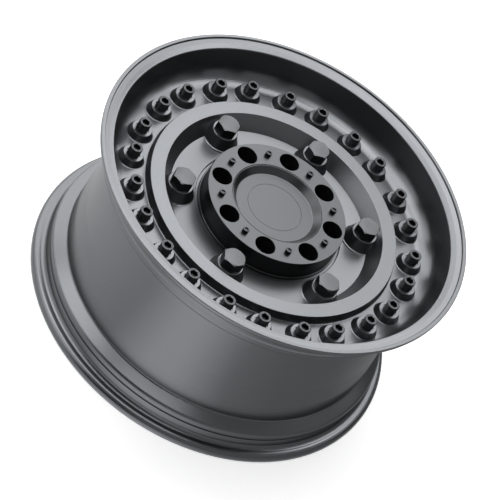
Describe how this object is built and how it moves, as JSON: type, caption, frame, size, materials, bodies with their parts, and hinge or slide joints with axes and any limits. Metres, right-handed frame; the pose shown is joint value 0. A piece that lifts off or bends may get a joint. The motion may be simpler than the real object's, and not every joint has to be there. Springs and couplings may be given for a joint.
{
  "type": "alloy wheel",
  "caption": "Deep-dish cast alloy truck wheel with a raised hub drum, ring and channel, capped bolts and screws, and a dished centre cap.",
  "frame": {"origin": "centre of the hub bore in the mounting face", "axes": "+Z along the wheel's axis towards the street side, +X through the middle of a lug hole"},
  "size_m": [0.5473, 0.5474, 0.2653],
  "materials": {
    "casting": "satin gunmetal coat",
    "cap": "satin gunmetal coat",
    "emblem": "satin",
    "spring_wire": "drawn wire",
    "screws": "black oxide",
    "bolts": "satin black coat",
    "pins": "black oxide"
  },
  "bodies": {
    "root": {"wheel_casting": "casting", "center_cap": "cap", "cap_emblem": "emblem", "cap_spring_ring": "spring_wire", "cap_screws": "screws", "hex_bolts": "bolts", "hub_pins": "pins"}
  },
  "joints": []
}
